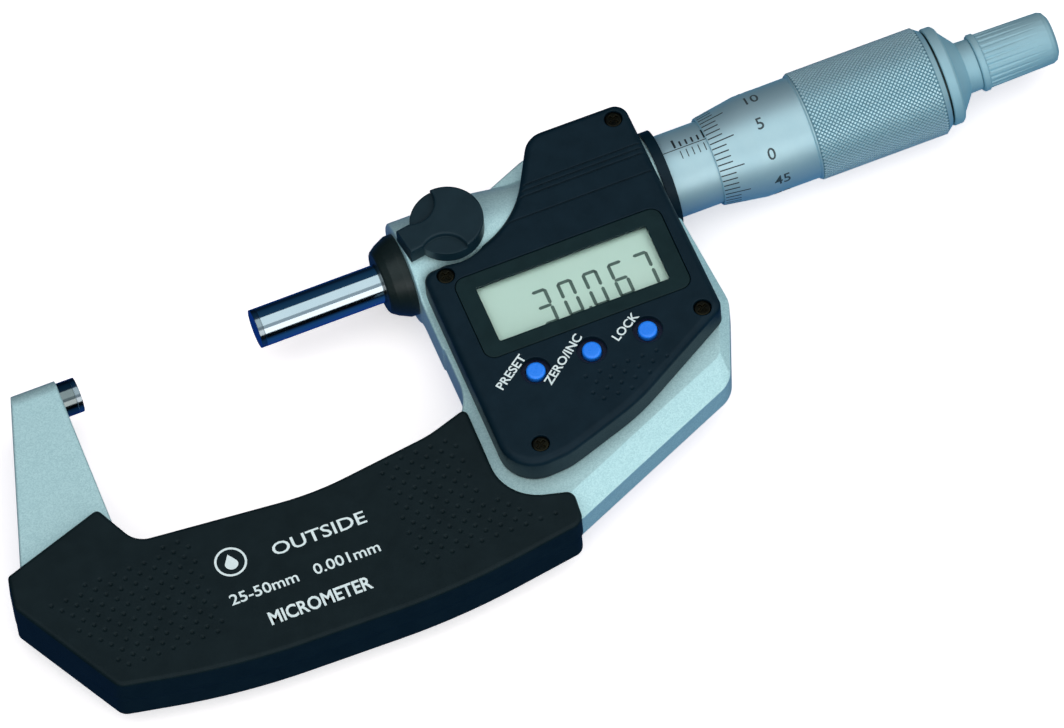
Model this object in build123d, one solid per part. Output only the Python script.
from build123d import *
import math
import os

# A digital outside micrometer for 25 to 50 mm, lying on its back.
# +X runs along the spindle from the anvil to the ratchet, +Y points away from the bow of
# the frame, and +Z is the way the display faces. The origin is the centre of the anvil's
# measuring face. All sizes are in millimetres.

# ---- spindle axis: stations along X and radii about it ----
READING = 30.067          # distance between the two measuring faces
SPINDLE_R = 3.175
THREAD_R = 3.95
ANVIL_R = 2.85
RUNNING_GAP = 0.04        # radial clearance of a shaft that turns or slides
TIP_LENGTH = 0.9
BOSS_X = 55.5             # end face of the frame's spindle boss
BOSS_R = 8.45
BOSS_END_X = 69.5         # from here the boss narrows to the barrel
BARREL_X = 75.5
BARREL_R = 7.6
BARREL_END_X = 98.2
SEAL_SEAT_X = 58.3        # the rubber seal's neck sits in the boss up to here
SEAL_SEAT_R = 4.55
GUIDE_END_X = 60.2
BUSHING_R = 5.75
ENCODER_X = 82.0
SLEEVE_START_X = 93.0
SLEEVE_END_X = 131.0
SLEEVE_R = 6.85
SLEEVE_BORE_R = 6.15
THIMBLE_X = 107.4         # graduated front edge
BEVEL_END_X = 114.4
KNURL_X = 123.4
KNURL_END_X = 145.2
THIMBLE_END_X = 146.1
THIMBLE_R = 8.45
KNURL_R = 8.95
TAPER_X = 139.2
END_CAP_X = 146.5
NECK_END_X = 152.9
RATCHET_END_X = 166.2

# ---- heights above the spindle axis ----
FRAME_HALF = 3.5
BEVEL_HALF = 2.4          # half thickness at the frame's thin outer rim
COVER_HALF = 5.3
GASKET = 0.3
HOUSING_BASE = FRAME_HALF + GASKET
HOUSING_FACE = 9.0
WALL_INNER = 7.7          # underside of the housing's front wall
BOARD_BASE = 4.5
BOARD_TOP = 5.3

# ---- things placed on the plan ----
LCD_CENTRE = (77.95, -16.8)
BUTTONS = {"origin_button": 66.75, "zero_button": 76.25, "hold_button": 85.75}
BUTTON_Y = -29.2
BUTTON_R = 1.55
HOUSING_SCREWS = [(94.9, 8.4), (60.0, -7.6), (95.2, -28.9), (62.6, -41.7)]
COVER_SCREWS = [(-12.0, -41.0), (20.0, -46.5), (53.0, -48.5)]
BATTERY_AT = (77.9, -26.0)
KNOB_X = 63.3
KNOB_R = 5.9
KNOB_BASE = 9.3
KNOB_TOP = 12.6
LEVER_DIRECTION = 189.0   # degrees from +X, where the clamp lever points

# Outlines are corners (x, y, rounding radius) in the XY plane.
FRAME_OUTLINE = [
    (-10.2, 3.1, 1.3), (-3.0, 3.1, 0.4),                          # anvil end of the arm
    (-4.1, -31.8, 4.7), (27.0, -35.0, 50), (47.5, -32.4, 20),     # floor of the throat
    (55.7, -31.0, 9.0), (55.7, 5.0, 0.4),                         # under the spindle boss
    (71.5, 6.6, 8.0), (80.0, 10.2, 5.0), (98.2, 10.2, 1.0),       # top, behind the display
    (98.2, -8.6, 0.4), (99.2, -9.2, 0.5), (100.6, -26.2, 6.0),    # right edge
    (95.4, -39.8, 5.0), (63.0, -54.2, 2.0),                       # lower right rim
    (42.0, -57.7, 120), (5.0, -57.0, 120), (-13.0, -53.0, 2.0),   # under the covers
    (-22.6, -34.4, 1.0),
]
COVER_OUTLINE = [
    (-22.9, -28.9, 0.8), (-5.5, -23.1, 0.9), (-1.9, -30.9, 4.0),
    (27.0, -33.8, 50), (47.5, -31.2, 20), (54.7, -28.9, 0.9),
    (54.5, -46.6, 8.0), (64.9, -49.5, 1.6), (64.4, -55.4, 2.2),
    (42.0, -58.9, 120), (5.0, -58.2, 120), (-13.9, -54.2, 2.5), (-24.0, -34.6, 1.6),
]
HOUSING_OUTLINE = [
    (56.6, -5.8, 1.9), (72.6, -4.5, 17.0), (81.1, 11.1, 4.0), (97.5, 11.0, 2.3),
    (98.3, -29.6, 2.0), (80.0, -40.3, 40.0), (66.5, -44.8, 12.0), (56.5, -45.4, 6.0),
]


def outline(corners):
    """A flat face in the XY plane with each corner rounded to its own radius."""
    points = [(x, y) for x, y, r in corners]
    radii = [r for x, y, r in corners]
    return make_face(FilletPolyline(*points, radius=radii, close=True))


def slab(face, low, high):
    """A flat face pushed up from height low to height high."""
    return extrude(Pos(0, 0, low) * face, amount=high - low)


def turned(*points):
    """A body turned about the spindle axis from corners (x, radius)."""
    return revolve(make_face(Polyline(*points, close=True)), Axis.X)


def tube(x0, x1, inner, outer):
    return turned((x0, inner), (x1, inner), (x1, outer), (x0, outer))


def shaft(x0, x1, radius):
    return turned((x0, 0), (x1, 0), (x1, radius), (x0, radius))


def post(x, y, low, high, radius):
    """An upright cylinder."""
    return Pos(x, y, (low + high) / 2) * Cylinder(radius, high - low)


def block(x0, x1, y0, y1, z0, z1):
    centre = Pos((x0 + x1) / 2, (y0 + y1) / 2, (z0 + z1) / 2)
    return centre * Box(x1 - x0, y1 - y0, z1 - z0)


def rounded_plate(width, height, radius, low, high):
    """A rounded rectangle centred on the display."""
    return slab(Pos(*LCD_CENTRE) * RectangleRounded(width, height, radius), low, high)


def soften(solid, edges, size):
    """Round the edges, or chamfer them where a fillet cannot be made."""
    for finish in (fillet, chamfer):
        try:
            rounded = finish(edges, size)
            if rounded.is_valid and rounded.volume > 0:
                return rounded
        except Exception:
            pass
    return solid


# ---------------------------------------------------------------- frame
def rim_bevels():
    """Wedges that thin the frame's outer rim at its lower right, front and back."""
    rise = FRAME_HALF - BEVEL_HALF
    # a point on the rim, the rim's heading in degrees, and how far in the bevel runs
    stretches = [
        (63.0, -54.2, 24.0, 4.2), (95.1, -39.5, 46.5, 3.0),
        (95.4, -39.8, 69.1, 1.6), (100.6, -26.2, 94.7, 1.3),
    ]
    wedges = []
    for x, y, heading, run in stretches:
        tilt = math.degrees(math.atan2(rise, run))
        upper = Rot(tilt, 0, 0) * block(-45, 45, -10, 30, 0, 20)
        lower = Rot(-tilt, 0, 0) * block(-45, 45, -10, 30, -20, 0)
        wedges.append(Pos(x, y, BEVEL_HALF) * Rot(0, 0, heading) * upper)
        wedges.append(Pos(x, y, -BEVEL_HALF) * Rot(0, 0, heading) * lower)
    return wedges


def arm_nose():
    """What is cut from the arm's end so that it is rounded close around the anvil."""
    top = 3.1
    nose_r = 3.05
    length = 14
    section = FilletPolyline((-20, -FRAME_HALF), (top, -FRAME_HALF), (top, FRAME_HALF),
                             (-20, FRAME_HALF), radius=[0, nose_r, nose_r, 0], close=True)
    rounded = extrude(Plane.YZ.offset(-length) * make_face(section), amount=length)
    return block(-length, 0, 0, 4, -4, 4) - rounded


def spindle_boss():
    """The round boss, flowing into the flat frame below it, and the barrel behind."""
    flow_r = 3.0
    drop = math.sqrt(BOSS_R ** 2 - FRAME_HALF ** 2)
    section = Circle(BOSS_R) + Pos(-8.5, 0) * Rectangle(17, 2 * FRAME_HALF)
    inner_corners = [v for v in section.vertices() if abs(v.X + drop) < 0.01]
    section = fillet(inner_corners, flow_r)
    boss = extrude(Plane.YZ.offset(BOSS_X) * section, amount=BOSS_END_X - BOSS_X)
    front_rim = boss.edges().filter_by_position(Axis.X, BOSS_X - 0.01, BOSS_X + 0.01)
    boss = soften(boss, front_rim, 0.35)
    barrel = turned((BOSS_END_X, 0), (BARREL_END_X, 0), (BARREL_END_X, BARREL_R),
                    (BARREL_X, BARREL_R), (BOSS_END_X, BOSS_R))
    lever_pad = post(KNOB_X, 0, 0, KNOB_BASE - 0.3, 4.6)
    return boss + barrel + lever_pad


def frame_bores():
    """Everything bored out of the frame along the spindle axis."""
    guide_r = SPINDLE_R + RUNNING_GAP
    spindle_bore = turned((BOSS_X - 1, 0), (BARREL_END_X + 1, 0), (BARREL_END_X + 1, SLEEVE_R),
                          (ENCODER_X, SLEEVE_R), (ENCODER_X, BUSHING_R), (GUIDE_END_X, BUSHING_R),
                          (GUIDE_END_X, guide_r), (SEAL_SEAT_X, guide_r),
                          (SEAL_SEAT_X, SEAL_SEAT_R), (BOSS_X - 1, SEAL_SEAT_R))
    return spindle_bore + shaft(-8.5, 1, ANVIL_R)


def make_frame_form():
    """The frame before it is bored; whatever lies on the frame is fitted to this."""
    plate = slab(outline(FRAME_OUTLINE), -FRAME_HALF, FRAME_HALF)
    levels = plate.edges().group_by(Axis.Z)
    plate = soften(plate, levels[-1] + levels[0], 0.35)
    plate = plate - arm_nose()
    for wedge in rim_bevels():
        plate = plate - wedge
    return plate + spindle_boss()


def make_frame(form):
    body = form - frame_bores()
    body -= post(KNOB_X, 0, 4.0, 12, 1.5 + RUNNING_GAP)
    for x, y in HOUSING_SCREWS:
        body -= post(x, y, 0.5, 8.8, 0.8)
    for x, y in COVER_SCREWS:
        body -= post(x, y, -4, 4, 0.9)
    body -= post(*BATTERY_AT, -4, 4, 6.1)
    body -= post(*BATTERY_AT, -4, -2.0, 7.0)
    return body


# ---------------------------------------------------------------- insulating covers
def dimples(positions, height, radius=0.42, depth=0.28):
    """Shallow conical pits in a face at the given height."""
    pits = []
    for x, y in positions:
        pits.append(Pos(x, y, height - depth / 2 + 0.005) * Cone(0.05, radius, depth + 0.01))
    return pits


def staggered(x0, x1, y0, y1, pitch_x, pitch_y, keep):
    """A staggered grid of points, those for which keep(x, y) is true."""
    spots = []
    for row in range(int((y1 - y0) / pitch_y) + 1):
        y = y1 - row * pitch_y
        shift = pitch_x / 2 if row % 2 else 0
        for column in range(int((x1 - x0) / pitch_x) + 1):
            x = x0 + column * pitch_x + shift
            if keep(x, y):
                spots.append((x, y))
    return spots


def on_left_grip(x, y):
    """Inside the cover's slanted left end and under its rising top edge."""
    slanted_end = -19.3 + 0.55 * max(0, -37 - y)
    top_edge = -33.9 + 0.1 * x
    return x > slanted_end and y < top_edge


def on_right_grip(x, y):
    """Left of the display housing, which the cover runs under as it goes down."""
    housing_side = min(61.5, 51.8 + 1.3 * max(0, -45 - y))
    return 38 < x < housing_side


def cover_dimples():
    left = staggered(-21, 6, -52, -33.8, 2.5, 1.45, on_left_grip)
    right = staggered(37, 62, -53.5, -33.5, 2.5, 1.45, on_right_grip)
    return left + right


def make_front_cover(form):
    shell = slab(outline(COVER_OUTLINE), 0.08, COVER_HALF)
    shell = soften(shell, shell.edges().group_by(Axis.Z)[-1], 0.7)
    shell = shell - form
    for x, y in COVER_SCREWS:
        shell -= post(x, y, 0, 4.6, 0.9)
    return shell - dimples(cover_dimples(), COVER_HALF)


def make_rear_cover(form):
    shell = slab(offset(outline(COVER_OUTLINE), amount=-0.25), -COVER_HALF, -0.08)
    shell = soften(shell, shell.edges().group_by(Axis.Z)[0], 0.7)
    shell = shell - form
    for x, y in COVER_SCREWS:
        shell -= post(x, y, -6, 0, 0.9)
        shell -= post(x, y, -6, -4.2, 1.9)
    return shell


def cross_slot(x, y, top, size):
    """A cross recess cut into a screw head whose face is at height top."""
    depth = size * 0.45
    arms = Box(size, size * 0.24, depth) + Box(size * 0.24, size, depth)
    return Pos(x, y, top) * Rot(0, 0, 30) * arms


def make_cover_screws():
    screws = []
    for x, y in COVER_SCREWS:
        screw = post(x, y, -4.9, -4.2, 1.85) + post(x, y, -4.2, 4.6, 0.9)
        screws.append(screw - cross_slot(x, y, -4.9, 2.2))
    return Compound(children=screws)


# ---------------------------------------------------------------- display unit
def housing_dimples():
    rows = [(-33.3, 73.6, 6), (-34.9, 74.8, 6), (-36.5, 73.6, 5), (-38.1, 74.8, 3)]
    return [(x0 + 2.4 * i, y) for y, x0, count in rows for i in range(count)]


def housing_cavity():
    """The room for the electronics, with a post left around each screw."""
    room = offset(outline(HOUSING_OUTLINE), amount=-1.6)
    room = slab(room, HOUSING_BASE - 1, WALL_INNER) & block(50, 105, -50, -9.2, 0, 20)
    for x, y in HOUSING_SCREWS[1:]:
        room -= post(x, y, 0, 20, 2.4)
    return room


def make_display_housing(form):
    shell = slab(outline(HOUSING_OUTLINE), HOUSING_BASE, HOUSING_FACE)
    shell = soften(shell, shell.edges().group_by(Axis.Z)[-1], 1.2)
    shell = shell - housing_cavity() - post(KNOB_X, 0, 7, 12, KNOB_R + 0.4)
    shell -= rounded_plate(35.2, 15.7, 1.95, 7.9, 10)
    shell -= rounded_plate(33.2, 13.7, 1.2, 7, 8)
    for x in BUTTONS.values():
        shell -= post(x, BUTTON_Y, 8.1, 10, 2.45)
        shell -= post(x, BUTTON_Y, 7, 9, BUTTON_R + 0.1)
    for x, y in HOUSING_SCREWS:
        shell -= post(x, y, 3, 10, 0.8)
        shell -= post(x, y, 8.0, 10, 1.5)
    for y in (2.7, 1.75, 0.8, -2.7):
        shell -= block(56, 100, y - 0.14, y + 0.14, HOUSING_FACE - 0.22, 10)
    return shell - form - dimples(housing_dimples(), HOUSING_FACE, 0.38, 0.25)


def make_gasket(form):
    face = outline(HOUSING_OUTLINE)
    ring = slab(offset(face, amount=-0.3) - offset(face, amount=-1.5), FRAME_HALF, HOUSING_BASE)
    for x, y in HOUSING_SCREWS:
        ring -= post(x, y, 3, 5, 0.9)
    ring = ring & block(50, 105, -50, -8.9, 0, 20)
    return ring - form


def make_bezel():
    body = rounded_plate(34.9, 15.4, 1.8, 7.9, HOUSING_FACE - 0.05)
    body -= rounded_plate(28.9, 10.45, 0.4, 7, 10)
    return body - rounded_plate(30.5, 12.0, 0.4, 7, 8.35)


def make_board():
    board = slab(offset(outline(HOUSING_OUTLINE), amount=-2.0), BOARD_BASE, BOARD_TOP)
    board = board & block(50, 105, -50, -9.6, 0, 20)
    for x, y in HOUSING_SCREWS[1:]:
        board -= post(x, y, 0, 20, 2.6)
    return board


def make_zebra_strips():
    strips = [block(62.5, 93.5, y - 0.6, y + 0.6, BOARD_TOP, 6.5) for y in (-10.9, -22.7)]
    return Compound(children=strips)


def make_button(x):
    cap = post(x, BUTTON_Y, 7.0, 9.15, BUTTON_R)
    cap = soften(cap, cap.edges().group_by(Axis.Z)[-1], 0.4)
    return cap + post(x, BUTTON_Y, 6.9, 7.6, 2.3)


def make_domes():
    return Compound(children=[post(x, BUTTON_Y, BOARD_TOP, 6.3, 2.0) for x in BUTTONS.values()])


def make_housing_screws():
    screws = []
    for x, y in HOUSING_SCREWS:
        head = post(x, y, 8.0, 8.75, 1.35)
        head = soften(head, head.edges().group_by(Axis.Z)[-1], 0.2)
        screws.append(head + post(x, y, 0.5, 8.0, 0.8) - cross_slot(x, y, 8.75, 1.7))
    return Compound(children=screws)


# ---------------------------------------------------------------- battery, behind
def make_battery():
    cell = post(*BATTERY_AT, -1.4, 3.3, 5.8) + post(*BATTERY_AT, -2.0, -1.4, 4.6)
    return soften(cell, cell.edges().group_by(Axis.Z)[-1], 0.3)


def make_battery_contact():
    x, y = BATTERY_AT
    return Pos(x, y, (3.35 + BOARD_BASE) / 2) * Cone(3.2, 1.8, BOARD_BASE - 3.35)


def make_battery_cap():
    x, y = BATTERY_AT
    flange = post(x, y, -4.7, -3.5, 8.2)
    flange = soften(flange, flange.edges().group_by(Axis.Z)[0], 0.5)
    body = flange + post(x, y, -3.55, -2.1, 6.9)
    body -= post(x, y, -3.3, -2.7, 8) - post(x, y, -3.4, -2.6, 6.3)
    return body - block(x - 5.5, x + 5.5, y - 0.8, y + 0.8, -5, -4.0)


def make_battery_seal():
    return post(*BATTERY_AT, -3.3, -2.7, 6.96) - post(*BATTERY_AT, -3.4, -2.6, 6.3)


# ---------------------------------------------------------------- spindle line
def make_spindle_seal():
    bore = SPINDLE_R + 0.05
    neck_x = SEAL_SEAT_X - 0.1
    return turned((51.3, bore), (neck_x, bore), (neck_x, SEAL_SEAT_R), (BOSS_X, SEAL_SEAT_R),
                  (BOSS_X, 6.8), (54.3, 6.75), (52.5, 5.9), (51.5, 5.2), (51.3, 4.9))


def make_spindle():
    """Ground shank with a keyway, thread, and a taper that the thimble seats on."""
    body = turned((READING + TIP_LENGTH, 0), (144, 0), (144, 2.9), (TAPER_X, THREAD_R),
                  (100, THREAD_R), (99.2, SPINDLE_R), (READING + TIP_LENGTH, SPINDLE_R))
    body -= shaft(138, 145, 1.5)
    return body - block(62.5, 98.0, -0.6, 0.6, -4, -2.2)


def make_clamp_ring():
    ring = tube(60.6, 66.0, SPINDLE_R + 0.06, BUSHING_R - 0.1)
    return ring - block(60, 67, -0.4, 0.4, -7, 0)


def lever_scoops(direction):
    """Finger hollows either side of the lever's arm."""
    hollows = []
    for swing in (58, -58):
        angle = math.radians(direction + swing)
        hollow_x = KNOB_X + 6.6 * math.cos(angle)
        hollows.append(post(hollow_x, 6.6 * math.sin(angle), 11.6, 14, 3.9))
    return hollows


def make_clamp_lever():
    disc = post(KNOB_X, 0, KNOB_BASE, KNOB_TOP, KNOB_R)
    arm = block(0, 7.9, -2.3, 2.3, KNOB_BASE, KNOB_TOP)
    body = disc + Pos(KNOB_X, 0, 0) * Rot(0, 0, LEVER_DIRECTION) * arm
    for hollow in lever_scoops(LEVER_DIRECTION):
        body -= hollow
    body = soften(body, body.edges().group_by(Axis.Z)[-1], 0.3)
    return body - post(KNOB_X, 0, 9, 11.0, 1.5)


def make_encoder_stator():
    return tube(83.0, 85.0, 4.4, SLEEVE_R)


def make_encoder_rotor():
    """Disc that turns with the spindle; its key slides in the spindle's groove."""
    disc = tube(85.3, 86.6, SPINDLE_R + RUNNING_GAP, 6.3)
    hub = tube(86.6, 91.5, SPINDLE_R + RUNNING_GAP, 4.8)
    return disc + hub + block(85.3, 91.5, -0.5, 0.5, -4.0, -2.35)


def make_inner_sleeve():
    nut_x = 112
    nut_bore = THREAD_R + 0.05
    outer_r = 5.4
    return turned((SLEEVE_START_X, 4.4), (nut_x, 4.4), (nut_x, nut_bore), (SLEEVE_END_X, nut_bore),
                  (SLEEVE_END_X, outer_r), (97, outer_r), (97, SLEEVE_BORE_R),
                  (SLEEVE_START_X, SLEEVE_BORE_R))


def make_thimble():
    bore = SLEEVE_R + 0.08
    return turned((THIMBLE_X, bore), (TAPER_X, bore), (TAPER_X, THREAD_R), (144, 2.9),
                  (THIMBLE_END_X, 2.9), (THIMBLE_END_X, 8.15), (KNURL_END_X, KNURL_R),
                  (KNURL_X + 0.3, KNURL_R), (KNURL_X, THIMBLE_R),
                  (BEVEL_END_X, THIMBLE_R - 0.05), (THIMBLE_X, 7.3))


def make_end_cap():
    """A rimmed cone that closes the thimble, with a short neck for the ratchet."""
    x = END_CAP_X
    return turned((x, 1.6), (NECK_END_X, 1.6), (NECK_END_X, 4.2), (x + 4.3, 4.25), (x + 4.0, 4.7),
                  (x + 2.1, 7.1), (x + 1.9, 7.75), (x + 1.5, 8.1), (x + 0.2, 8.15), (x, 8.0))


def make_ratchet_screw():
    head_x = 160.4
    return turned((138, 0), (head_x + 1.5, 0), (head_x + 1.5, 2.3), (head_x + 1.2, 2.6),
                  (head_x, 2.6), (head_x, 1.5), (NECK_END_X, 1.5), (NECK_END_X, 1.6),
                  (END_CAP_X, 1.6), (END_CAP_X, 1.5), (138, 1.5))


def make_ratchet_pawl():
    """A disc with face teeth that slips against the spring at the set force."""
    face_x = 154.4
    pawl = tube(face_x - 1.2, face_x, 1.5, 3.3)
    for i in range(12):
        notch = Pos(face_x, 0, 2.9) * Rot(0, 45, 0) * Box(0.5, 1.0, 0.5)
        pawl -= Rot(30 * i, 0, 0) * notch
    return pawl


def make_ratchet_spring():
    """The coil that presses the toothed disc and the cap together."""
    turns = 4
    coil_r = 2.5
    wire_r = 0.35
    length = 3.8
    path = Helix(pitch=length / turns, height=length, radius=coil_r)
    section = Plane(origin=path @ 0, z_dir=path % 0) * Circle(wire_r)
    return Pos(154.85, 0, 0) * Rot(0, 90, 0) * sweep(section, path=path)


def make_ratchet_cap():
    """A rim, a fluted grip that tapers to a rounded end, and an inner web."""
    front = NECK_END_X + 0.1
    web = 159.1
    bore = 3.5
    roof = RATCHET_END_X - 2.0
    body = turned((front, bore), (web, bore), (web, 1.56), (web + 1.2, 1.56), (web + 1.2, bore),
                  (roof, bore), (roof, 0), (RATCHET_END_X, 0), (RATCHET_END_X, 3.2),
                  (RATCHET_END_X - 0.5, 4.0), (RATCHET_END_X - 1.2, 4.3), (front + 1.2, 4.5),
                  (front + 1.0, 4.75), (front + 0.2, 4.75), (front, 4.55))
    flutes = 26
    flute_start = front + 1.2
    flute_end = RATCHET_END_X - 0.6
    flute = Rot(0, 90, 0) * Cylinder(0.3, flute_end - flute_start)
    for i in range(flutes):
        body -= Rot(360 * i / flutes, 0, 0) * Pos((flute_start + flute_end) / 2, 0, 4.6) * flute
    return body


def build():
    form = make_frame_form()
    parts = {
        "frame": make_frame(form),
        "anvil": shaft(-8.5, -TIP_LENGTH, ANVIL_R),
        "anvil_tip": shaft(-TIP_LENGTH, 0, ANVIL_R),
        "front_cover": make_front_cover(form),
        "rear_cover": make_rear_cover(form),
        "cover_screws": make_cover_screws(),
        "display_housing": make_display_housing(form),
        "housing_gasket": make_gasket(form),
        "lcd_bezel": make_bezel(),
        "lcd_window": rounded_plate(30.4, 11.9, 0.4, 7.9, 8.3),
        "lcd_panel": block(61.2, 94.7, -23.4, -10.2, 6.5, 7.6),
        "zebra_strips": make_zebra_strips(),
        "circuit_board": make_board(),
        "switch_domes": make_domes(),
        "housing_screws": make_housing_screws(),
        "battery": make_battery(),
        "battery_contact": make_battery_contact(),
        "battery_cap": make_battery_cap(),
        "battery_cap_seal": make_battery_seal(),
        "spindle_seal": make_spindle_seal(),
        "spindle_bushing": tube(68.0, 80.0, SPINDLE_R + RUNNING_GAP, BUSHING_R),
        "spindle": make_spindle(),
        "spindle_tip": shaft(READING, READING + TIP_LENGTH, SPINDLE_R),
        "clamp_ring": make_clamp_ring(),
        "clamp_lever": make_clamp_lever(),
        "clamp_stud": post(KNOB_X, 0, BUSHING_R + 0.1, 11.0, 1.5),
        "encoder_stator": make_encoder_stator(),
        "encoder_rotor": make_encoder_rotor(),
        "inner_sleeve": make_inner_sleeve(),
        "graduated_sleeve": tube(SLEEVE_START_X, SLEEVE_END_X, SLEEVE_BORE_R, SLEEVE_R),
        "adjusting_nut": tube(125.0, 130.0, 5.4, SLEEVE_BORE_R - 0.05),
        "sleeve_collar": tube(BARREL_END_X, 99.9, SLEEVE_R, 8.1),
        "thimble": make_thimble(),
        "thimble_seal": tube(THIMBLE_END_X, END_CAP_X, 2.9, 7.7),
        "thimble_end_cap": make_end_cap(),
        "ratchet_screw": make_ratchet_screw(),
        "ratchet_pawl": make_ratchet_pawl(),
        "ratchet_spring": make_ratchet_spring(),
        "ratchet_cap": make_ratchet_cap(),
    }
    for name, x in BUTTONS.items():
        parts[name] = make_button(x)
    return parts


os.makedirs("parts", exist_ok=True)
for node, shape in build().items():
    export_step(shape, f"parts/{node}.step")
    print(node, round(shape.volume, 1))
